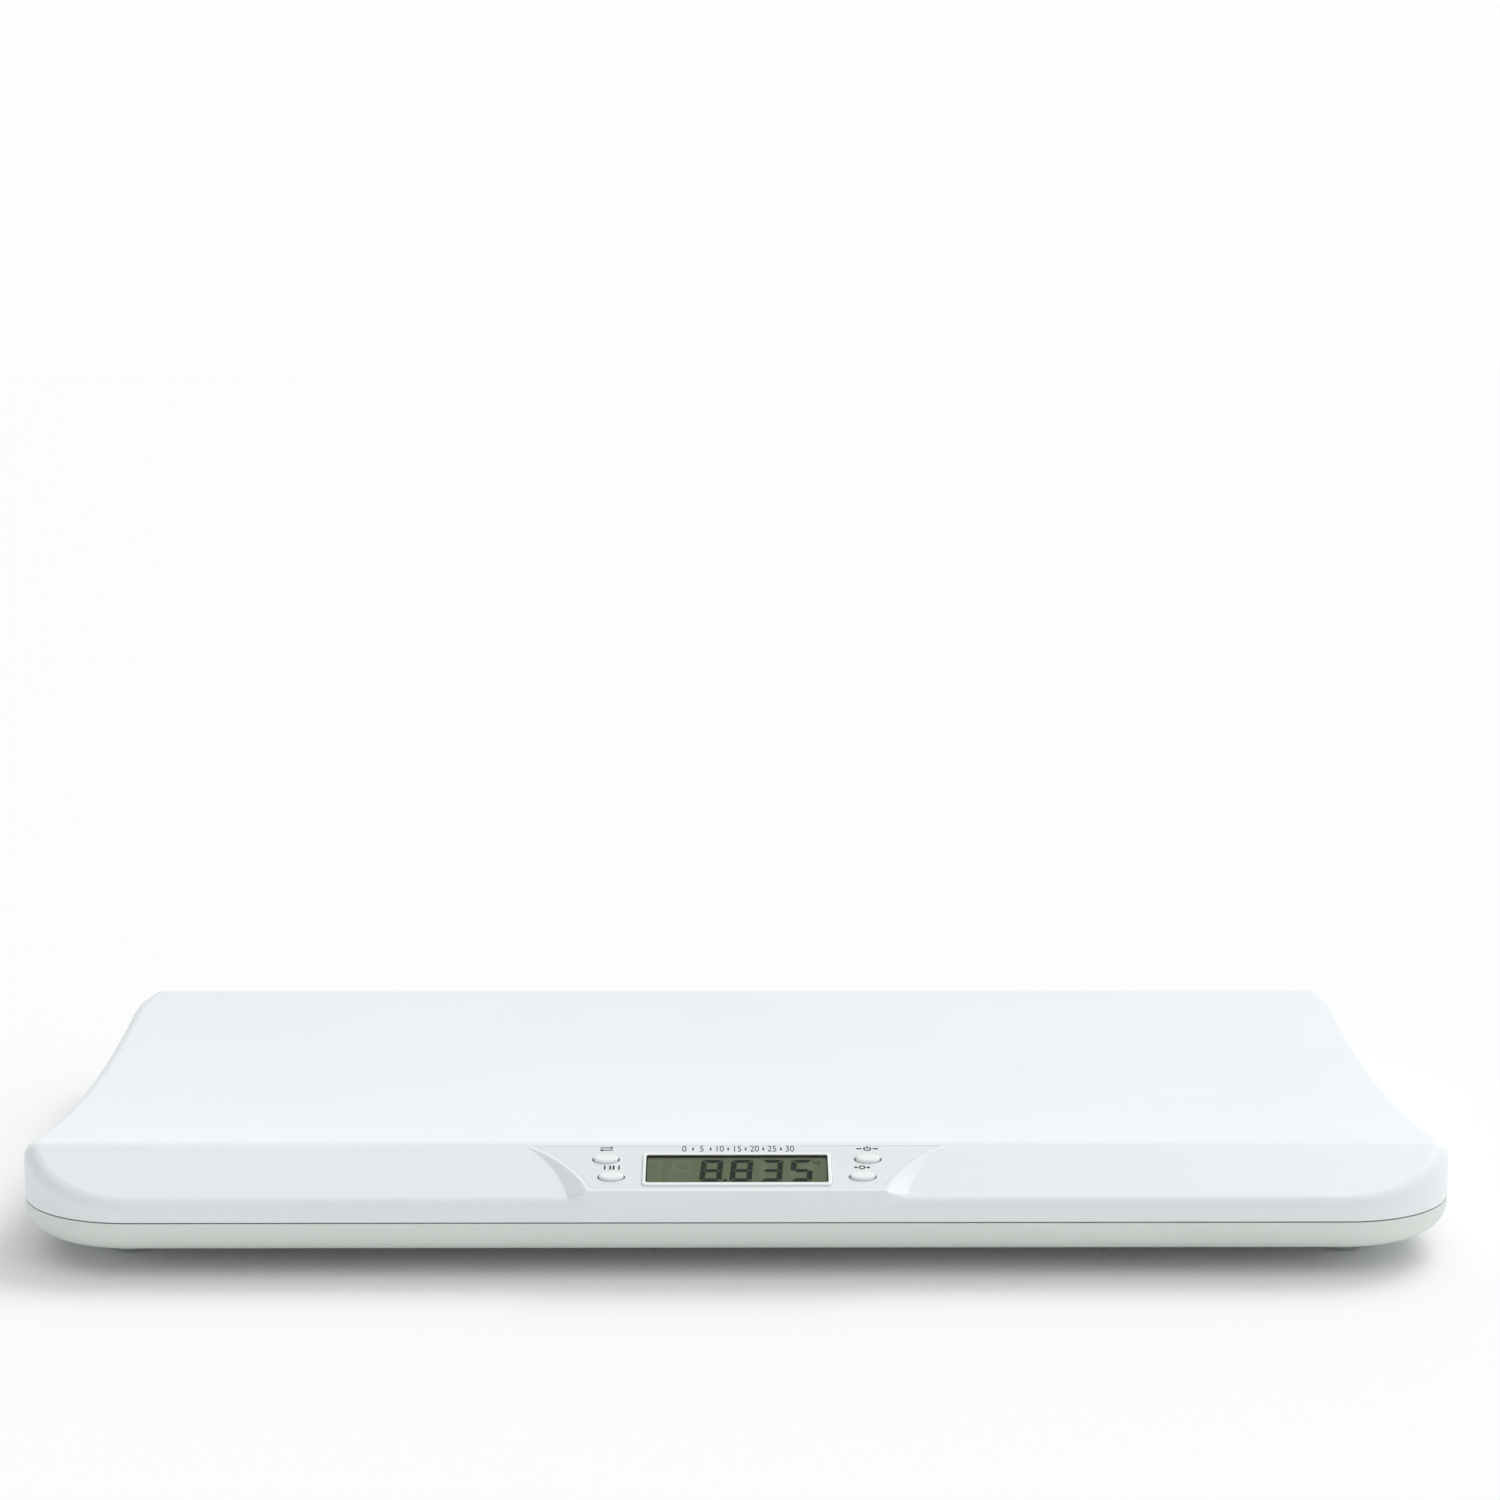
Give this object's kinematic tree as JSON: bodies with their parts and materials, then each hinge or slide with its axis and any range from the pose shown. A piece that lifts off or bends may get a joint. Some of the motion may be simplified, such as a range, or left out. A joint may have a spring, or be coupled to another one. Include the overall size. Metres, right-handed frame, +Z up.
{
  "type": "animal weighing scale",
  "caption": "Low electronic scale for small animals: a white dished platform on weighing feet, with a display and keys in its sloped front edge.",
  "frame": {"origin": "on the ground, under the middle of the body, level with the bottoms of the feet", "axes": "+X along the long side, towards the right-hand end as the user reads the display; -Y is the display side; +Z up"},
  "size_m": [0.55, 0.31, 0.0438],
  "materials": {
    "cover_abs": "satin to gloss moulded ABS, white",
    "base_abs": "satin moulded ABS, white with a slight green-grey cast",
    "overlay_film": "fine-grained printed film, light grey",
    "bezel_abs": "gloss moulded ABS, white",
    "window_clear": "clear moulded window",
    "lcd_glass": "reflective grey-green liquid crystal glass",
    "holder_plastic": "moulded, white",
    "contact_rubber": "layered conductive elastomer",
    "board_laminate": "green solder mask",
    "chip_black": "moulded epoxy",
    "header_nylon": "natural nylon",
    "switch_black": "moulded",
    "plunger_plastic": "moulded",
    "key_abs": "satin moulded ABS, white",
    "cell_steel": "nickel-plated steel plate",
    "gauge_sealant": "white silicone sealant",
    "foot_abs": "moulded, light grey",
    "pad_rubber": "soft grey rubber",
    "screw_steel": "zinc-plated steel",
    "wire_pvc": "bundled PVC leads",
    "lead_pvc": "twin PVC lead",
    "battery_jacket": "printed metal jacket, blank",
    "contact_steel": "nickel-plated sheet",
    "spring_steel": "nickel-plated spring wire",
    "label_stock": "silver label stock, blank"
  },
  "bodies": {
    "platform": {"base_shell": "base_abs", "batteries": "battery_jacket", "battery_lead": "lead_pvc", "board_chips": "chip_black", "board_screws": "screw_steel", "body_screws": "screw_steel", "cell_screws": "screw_steel", "contact_plates": "contact_steel", "contact_springs": "spring_steel", "contact_strip": "contact_rubber", "control_overlay": "overlay_film", "display_bezel": "bezel_abs", "display_holder": "holder_plastic", "display_window": "window_clear", "foot_front_left": "foot_abs", "foot_front_right": "foot_abs", "foot_pad_front_left": "pad_rubber", "foot_pad_front_right": "pad_rubber", "foot_pad_rear_left": "pad_rubber", "foot_pad_rear_right": "pad_rubber", "foot_rear_left": "foot_abs", "foot_rear_right": "foot_abs", "foot_screws": "screw_steel", "lcd_panel": "lcd_glass", "load_cell_front_left": "cell_steel", "load_cell_front_right": "cell_steel", "load_cell_rear_left": "cell_steel", "load_cell_rear_right": "cell_steel", "main_board": "board_laminate", "rating_label": "label_stock", "strain_gauges": "gauge_sealant", "switch_housings": "switch_black", "tray_cover": "cover_abs", "wire_front_left": "wire_pvc", "wire_front_right": "wire_pvc", "wire_headers": "header_nylon", "wire_rear_left": "wire_pvc", "wire_rear_right": "wire_pvc"},
    "unit_key": {"key_unit": "key_abs", "plunger_unit": "plunger_plastic"},
    "hold_key": {"key_hold": "key_abs", "plunger_hold": "plunger_plastic"},
    "power_key": {"key_power": "key_abs", "plunger_power": "plunger_plastic"},
    "tare_key": {"key_tare": "key_abs", "plunger_tare": "plunger_plastic"},
    "battery_hatch": {"battery_door": "base_abs"}
  },
  "joints": [
    {"name": "unit_key_press", "type": "slide", "parent": "platform", "child": "unit_key", "axis": [0, 0.2846, -0.9586], "range_m": [0, 0.0008], "stiffness_N_per_m": 1500, "springref_m": -0.0003},
    {"name": "hold_key_press", "type": "slide", "parent": "platform", "child": "hold_key", "axis": [0, 0.2846, -0.9586], "range_m": [0, 0.0008], "stiffness_N_per_m": 1500, "springref_m": -0.0003},
    {"name": "power_key_press", "type": "slide", "parent": "platform", "child": "power_key", "axis": [0, 0.2846, -0.9586], "range_m": [0, 0.0008], "stiffness_N_per_m": 1500, "springref_m": -0.0003},
    {"name": "tare_key_press", "type": "slide", "parent": "platform", "child": "tare_key", "axis": [0, 0.2846, -0.9586], "range_m": [0, 0.0008], "stiffness_N_per_m": 1500, "springref_m": -0.0003},
    {"name": "battery_door_hinge", "type": "hinge", "parent": "platform", "child": "battery_hatch", "pos_m": [0, 0.0677, 0.0108], "axis": [1, 0, 0], "range_deg": [0, 95]}
  ]
}
